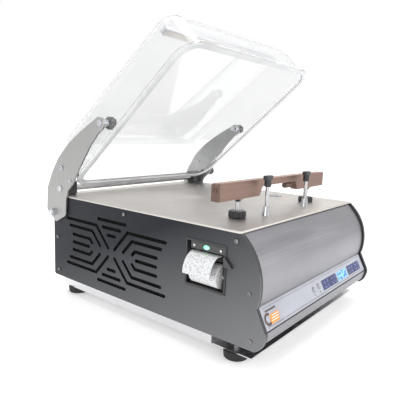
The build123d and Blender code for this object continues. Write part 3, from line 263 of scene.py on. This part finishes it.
MATERIAL = {
    "lacquer_painted_reflection": panel_lacquer_painted_reflection(),
    "front": brushed("front_brushed_steel", (0.23, 0.23, 0.245), (0.32, 0.32, 0.34), "x", 0.36, 700.0,
                     0.06),
    "plate": brushed("plate_brushed_steel", (0.50, 0.47, 0.45), (0.68, 0.65, 0.62), "x", 0.40, 800.0, 0.2),
    "sheet": brushed("sheet_brushed_steel", (0.62, 0.62, 0.63), (0.80, 0.80, 0.81), "x", 0.30, 800.0, 0.2),
    "screw": metal("screw_zinc", (0.20, 0.20, 0.21), (0.32, 0.32, 0.33), 0.36),
    "arm": brushed("arm_brushed_aluminium", (0.34, 0.34, 0.34), (0.45, 0.45, 0.44), "z", 0.42, 600.0, 0.15),
    "bright": metal("polished_steel", (0.38, 0.38, 0.39), (0.52, 0.52, 0.53), 0.16),
    "zinc": metal("zinc_plate", (0.50, 0.51, 0.54), (0.70, 0.71, 0.73), 0.30),
    "bar": brushed("bar_copper_anodised", (0.20, 0.125, 0.10), (0.30, 0.205, 0.175), "x", 0.38, 500.0, 0.2),
    "aluminium": brushed("counter_bar_aluminium", (0.62, 0.62, 0.64), (0.78, 0.78, 0.80), "x", 0.30,
                         500.0, 0.2),
    "rubber": plastic("moulded_rubber", (0.010, 0.010, 0.011), (0.022, 0.022, 0.024), 0.70, 900.0, 0.4),
    "silicone": plastic("silicone_rubber", (0.50, 0.48, 0.44), (0.62, 0.60, 0.56), 0.60, 600.0, 0.2),
    "gasket": plastic("clear_silicone", (0.50, 0.51, 0.52), (0.62, 0.63, 0.64), 0.35, 500.0, 0.1),
    "brown": plastic("brown_phenolic", (0.07, 0.035, 0.022), (0.12, 0.06, 0.04), 0.35, 700.0, 0.2, 0.2),
    "black": plastic("black_moulding", (0.012, 0.012, 0.014), (0.028, 0.028, 0.031), 0.38, 1300.0, 0.3),
    "gloss": plastic("gloss_black_moulding", (0.010, 0.010, 0.012), (0.020, 0.020, 0.022), 0.16, 300.0,
                     0.05, 0.5),
    "film": plastic("printed_film", (0.35, 0.36, 0.41), (0.41, 0.42, 0.47), 0.34, 1500.0, 0.15),
    "key": plastic("key_moulding", (0.010, 0.018, 0.10), (0.018, 0.030, 0.15), 0.32, 1200.0, 0.2, 0.3),
    "white": plastic("white_moulding", (0.74, 0.74, 0.73), (0.82, 0.82, 0.81), 0.40),
    "tape": plastic("release_tape", (0.36, 0.24, 0.20), (0.46, 0.32, 0.27), 0.55, 1700.0, 0.6),
    "coil": metal("winding_copper", (0.42, 0.20, 0.10), (0.58, 0.30, 0.16), 0.35),
    "acrylic": clear_acrylic(),
    "paper": paper_sheet(),
    "display": display_film(),
    "circuit": circuit_board(),
    "casting": casting(),
    "filter": plastic("dust_filter_felt", (0.004, 0.004, 0.005), (0.010, 0.010, 0.011), 0.9, 2200.0, 0.8),
    "print_dark": plastic("printed_dark_ink", (0.05, 0.03, 0.03), (0.09, 0.06, 0.05), 0.40),
    "print_orange": plastic("printed_orange_ink", (0.80, 0.26, 0.04), (0.90, 0.36, 0.07), 0.38),
    "print_grey": plastic("printed_grey_ink", (0.17, 0.17, 0.20), (0.23, 0.23, 0.26), 0.40),
    "print_blue": plastic("printed_blue_ink", (0.22, 0.27, 0.60), (0.30, 0.35, 0.68), 0.40),
    "print_pale": plastic("printed_pale_ink", (0.86, 0.87, 0.92), (0.92, 0.93, 0.97), 0.40),
    "led": glow("green_lamp", (0.10, 1.0, 0.45), 2.6),
}

LOOKS = {
    "left_side_panel": "lacquer_painted_reflection", "right_side_panel": "lacquer_painted_reflection", "edge_trims": "black",
    "cabinet_screws": "screw",
    "front_cover": "front", "lower_front_cover": "front", "control_fascia": "front",
    "control_overlay": "film",
    "display_window": "display", "control_board": "circuit", "key_left_1": "key", "key_left_2": "key",
    "key_right_1": "key", "key_right_2": "key", "base_pan": "sheet", "rubber_feet": "rubber",
    "chamber_plate": "plate", "plate_stays": "zinc", "rear_panel": "sheet", "power_inlet": "gloss",
    "rocker_switch": "gloss", "hinge_blocks": "black", "lid_dome": "acrylic", "lid_gasket": "gasket",
    "counter_bar": "aluminium", "silicone_strip": "silicone", "lid_arms": "arm", "arm_fasteners": "zinc",
    "lid_knobs": "black", "hinge_shaft": "bright", "lid_springs": "bright", "sealing_bar": "bar",
    "heating_element": "tape", "bar_terminals": "brown", "bar_posts": "bright",
    "bar_lift_cylinders": "aluminium",
    "plate_bushes": "bright", "left_bar_knob": "black", "right_bar_knob": "black",
    "left_clamp_rod": "bright",
    "right_clamp_rod": "bright", "left_clamp_head": "black", "right_clamp_head": "black",
    "clamp_springs": "bright", "printer_bezel": "black", "printer_chassis": "black", "paper_roll": "paper",
    "platen_roller": "rubber", "print_head": "zinc", "printer_board": "circuit", "paper_strip": "paper",
    "printer_lever": "gloss", "suction_port": "bright", "vacuum_pump": "casting", "motor_fan": "white",
    "pump_motor": "casting", "vacuum_hose": "rubber", "power_board": "circuit", "transformer": "coil",
    "release_valve": "aluminium",
}
for name, look in LOOKS.items():
    mesh = NODES[name].data
    mesh.materials.clear()
    mesh.materials.append(MATERIAL[look])

# The cut edges of the side panels are black.
for panel in ("left_side_panel", "right_side_panel"):
    sheet = NODES[panel].data
    sheet.materials.append(MATERIAL["gloss"])
    for face in sheet.polygons:
        face.material_index = int(abs(face.normal.x) < 0.5)


# ---------------------------------------------------------------- small parts in mesh code
def mesh_piece(name, bm, look, body, smooth=True):
    """Object from a bmesh in the frame's coordinates, riding on a body."""
    bmesh.ops.recalc_face_normals(bm, faces=bm.faces)
    mesh = bpy.data.meshes.new(name)
    bm.to_mesh(mesh)
    bm.free()
    for face in mesh.polygons:
        face.use_smooth = smooth
    piece = bpy.data.objects.new(name, mesh)
    bpy.context.scene.collection.objects.link(piece)
    mesh.materials.append(MATERIAL[look])
    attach(piece, body)
    return piece


def add_box(bm, low, high, bevel=0.0):
    made = bmesh.ops.create_cube(bm, size=1.0)["verts"]
    low, high = Vector(low), Vector(high)
    for v in made:
        v.co = Vector([low[i] + (v.co[i] + 0.5) * (high[i] - low[i]) for i in range(3)])
    if bevel:
        edges = list({e for v in made for e in v.link_edges})
        bmesh.ops.bevel(bm, geom=edges, offset=bevel, segments=3, affect="EDGES", profile=0.5)


PLEAT, SHEET, PLEATS = 0.0012, 0.0006, 74       # depth of a pleat, thickness of the felt, pleats in a sheet


def vent_filters():
    """Dark dust filter sheets just inside the side vents, with a pleat every few millimetres."""
    for side, node in ((-1, "left_side_panel"), (1, "right_side_panel")):
        low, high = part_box(node)
        x = (high.x + PLEAT) if side < 0 else (low.x - PLEAT)
        y0, y1 = PLATE_FRONT + 0.136, PLATE_FRONT + 0.432
        z0, z1 = PLATE_TOP - 0.160, PLATE_TOP - 0.022
        bm = bmesh.new()
        rows = []
        for i in range(PLEATS + 1):
            y = y0 + (y1 - y0) * i / PLEATS
            dx = -side * (PLEAT if i % 2 else 0.0)
            rows.append([bm.verts.new((x + dx, y, z)) for z in (z0, z1)])
        for a, b in zip(rows, rows[1:]):
            bm.faces.new((a[0], b[0], b[1], a[1]))
        bmesh.ops.solidify(bm, geom=list(bm.faces), thickness=SHEET)
        name = ("left" if side < 0 else "right") + "_vent_filter"
        mesh_piece(name, bm, "filter", "cabinet", False)


vent_filters()


def printer_details():
    """Lamp and two small screws on the printer's circuit board, and the cover plate behind them."""
    low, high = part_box("printer_board")
    x = low.x
    z = (low.z + high.z) / 2
    bm = bmesh.new()
    add_box(bm, (x - 0.0012, low.y + 0.001, low.z + 0.0003),
            (x - 0.0002, high.y - 0.001, high.z - 0.0003), 0.0002)
    mesh_piece("printer_sensor_cover", bm, "gloss", "cabinet", False)
    bm = bmesh.new()
    matrix = Matrix.Translation((x - 0.0016, (low.y + high.y) / 2 + 0.002, z))
    matrix = matrix @ Matrix.Diagonal((0.5, 1.7, 1.0, 1.0))
    bmesh.ops.create_uvsphere(bm, u_segments=24, v_segments=12, radius=0.0032, matrix=matrix)
    mesh_piece("printer_lamp", bm, "led", "cabinet")
    for i, y in enumerate((low.y + 0.008, high.y - 0.008)):
        bm = bmesh.new()
        turn = Matrix.Translation((x - 0.0018, y, z)) @ Matrix.Rotation(math.radians(-90), 4, "Y")
        bmesh.ops.create_cone(bm, cap_ends=True, segments=24, radius1=0.0026, radius2=0.0020,
                              depth=0.0012, matrix=turn)
        mesh_piece(f"printer_screw_{i + 1}", bm, "zinc", "cabinet", False)


printer_details()


# ---------------------------------------------------------------- pieces printed on the control strip
def strip_frame():
    """Middle of the printed film's outer face, and the way up the strip and out of it."""
    low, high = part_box("control_overlay")
    run, rise = high.y - low.y, high.z - low.z
    up = Vector((0, run, rise)).normalized()
    out = Vector((0, -up.z, up.y))
    centre = (low + high) / 2 + out * 0.0003
    return centre, up, out


STRIP_MIDDLE, STRIP_UP, STRIP_OUT = strip_frame()


def printed(name, outline, look, lift=0.00015, thick=0.00012, body="cabinet"):
    """Thin raised print on the strip. The outline is in mm: across to the right and up the strip."""
    bm = bmesh.new()
    across = Vector((1, 0, 0))
    base = [bm.verts.new(STRIP_MIDDLE + across * x * MM + STRIP_UP * y * MM + STRIP_OUT * lift)
            for x, y in outline]
    face = bm.faces.new(base)
    made = bmesh.ops.extrude_face_region(bm, geom=[face])
    for v in made["geom"]:
        if isinstance(v, bmesh.types.BMVert):
            v.co += STRIP_OUT * thick
    return mesh_piece(name, bm, look, body, False)


def ellipse(x, y, rx, ry, start=0.0, stop=360.0, steps=28):
    turn = [math.radians(start + (stop - start) * i / steps) for i in range(steps + (stop - start < 360))]
    return [(x + rx * math.cos(t), y + ry * math.sin(t)) for t in turn]


def arc_band(x, y, r, width, start, stop):
    """Curved stroke between two angles."""
    outside = ellipse(x, y, r + width / 2, r + width / 2, start, stop)
    return outside + ellipse(x, y, r - width / 2, r - width / 2, stop, start)


def rectangle(x, y, w, h):
    return [(x - w / 2, y - h / 2), (x + w / 2, y - h / 2), (x + w / 2, y + h / 2), (x - w / 2, y + h / 2)]


printed("badge_block", [(-188, -12), (-162, -12), (-158, 2), (-184, 2)], "print_orange")
printed("badge_swoosh", arc_band(-191, -3.5, 7.5, 4.0, 50, 310), "print_dark", 0.0003)
printed("badge_line", rectangle(-178, 8.5, 30, 2.4), "print_dark", 0.0003)
for i in range(3):
    printed(f"badge_bar_{i + 1}", rectangle(-173 + 1.5 * i, -8.0 + 3.6 * i, 19, 1.0),
            "print_pale", 0.0003)
for i, (x, y) in enumerate(((-34, 0), (-13, 1.5))):
    printed(f"strip_icon_{i + 1}_ring", arc_band(x, y, 4.4, 1.4, 20, 340), "print_grey")
    printed(f"strip_icon_{i + 1}_bar", rectangle(x, y + 2.0, 1.4, 6.0), "print_grey", 0.0003)

KEY_RISE = 0.00062                             # of a key's face over the film


def key_marks():
    """Two bars and two curved signs on each key; they move with it."""
    for key, body in (("key_left_1", "left_key_1"), ("key_left_2", "left_key_2"),
                      ("key_right_1", "right_key_1"), ("key_right_2", "right_key_2")):
        low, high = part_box(key)
        middle = (low + high) / 2 / MM
        for i, y in enumerate((1.8, -7.0)):
            wide = 6.0 if (i + len(key)) % 2 else 4.5
            bar = rectangle(middle.x - 5.0, y, wide, 1.1)
            sign = arc_band(middle.x + 8.0, y, 1.7, 0.8, 30, 330)
            printed(f"{key}_mark_{i + 1}", bar, "print_blue", KEY_RISE, body=body)
            printed(f"{key}_sign_{i + 1}", sign, "print_blue", KEY_RISE, body=body)


key_marks()
printed("film_upper_line", rectangle(0, 13.8, 396, 0.8), "print_grey")
printed("film_lower_line", rectangle(0, -14.2, 396, 0.8), "print_grey")

# ---------------------------------------------------------------- studio
CAMERA_AT = Vector((-0.7344, PLATE_FRONT - 0.3390, PLATE_TOP + 0.1418))
YAW, PITCH, ROLL = math.radians(51.3), math.radians(9.0), math.radians(2.2)
FOCAL_SHARE = 441.1 / 400.0                    # focal length over the picture's width


def place_camera():
    forward = Vector((math.sin(YAW) * math.cos(PITCH), math.cos(YAW) * math.cos(PITCH), -math.sin(PITCH)))
    right = Vector((math.cos(YAW), -math.sin(YAW), 0))
    up = right.cross(forward)
    right, up = (right * math.cos(ROLL) + up * math.sin(ROLL), up * math.cos(ROLL) - right * math.sin(ROLL))
    data = bpy.data.cameras.new("camera")
    data.sensor_width = 36.0
    data.lens = 36.0 * FOCAL_SHARE
    data.clip_start, data.clip_end = 0.01, 60.0
    camera = bpy.data.objects.new("camera", data)
    turn = Matrix((right, up, -forward)).transposed().to_4x4()
    camera.matrix_world = Matrix.Translation(CAMERA_AT) @ turn
    bpy.context.scene.collection.objects.link(camera)
    bpy.context.scene.camera = camera


def soft_light(name, place, aim, size, power, colour=(1, 1, 1)):
    data = bpy.data.lights.new(name, "AREA")
    data.shape = "RECTANGLE"
    data.size, data.size_y = size
    data.energy = power
    data.color = colour
    light = bpy.data.objects.new(name, data)
    light.location = place
    light.rotation_mode = "QUATERNION"
    light.rotation_quaternion = (Vector(aim) - Vector(place)).to_track_quat("-Z", "Y")
    bpy.context.scene.collection.objects.link(light)


def studio():
    """White floor, white world and three soft boxes."""
    bm = bmesh.new()
    bmesh.ops.create_grid(bm, x_segments=1, y_segments=1, size=12.0)
    mesh = bpy.data.meshes.new("floor")
    bm.to_mesh(mesh)
    bm.free()
    floor = bpy.data.objects.new("floor", mesh)
    s = Shader("floor_paper")
    s.put(Base_Color=(0.92, 0.92, 0.92), Roughness=0.6, Emission_Color=(1.0, 1.0, 1.0),
          Emission_Strength=0.22)
    mesh.materials.append(s.material)
    bpy.context.scene.collection.objects.link(floor)
    world = bpy.data.worlds.new("world")
    world.use_nodes = True
    background = world.node_tree.nodes["Background"]
    background.inputs["Color"].default_value = (1, 1, 1, 1)
    background.inputs["Strength"].default_value = 1.0
    bpy.context.scene.world = world
    soft_light("overhead", (0.2, 0.2, 2.2), (0, 0, 0.2), (2.2, 1.6), 26)
    soft_light("left_wall", (-2.4, -0.4, 0.9), (0, 0, 0.25), (1.4, 1.4), 14)
    soft_light("front_wall", (0.6, -2.2, 1.0), (0, -0.1, 0.2), (1.6, 1.0), 16)


place_camera()
studio()
scene = bpy.context.scene
scene.view_settings.view_transform = "Standard"
scene.view_settings.look = "None"
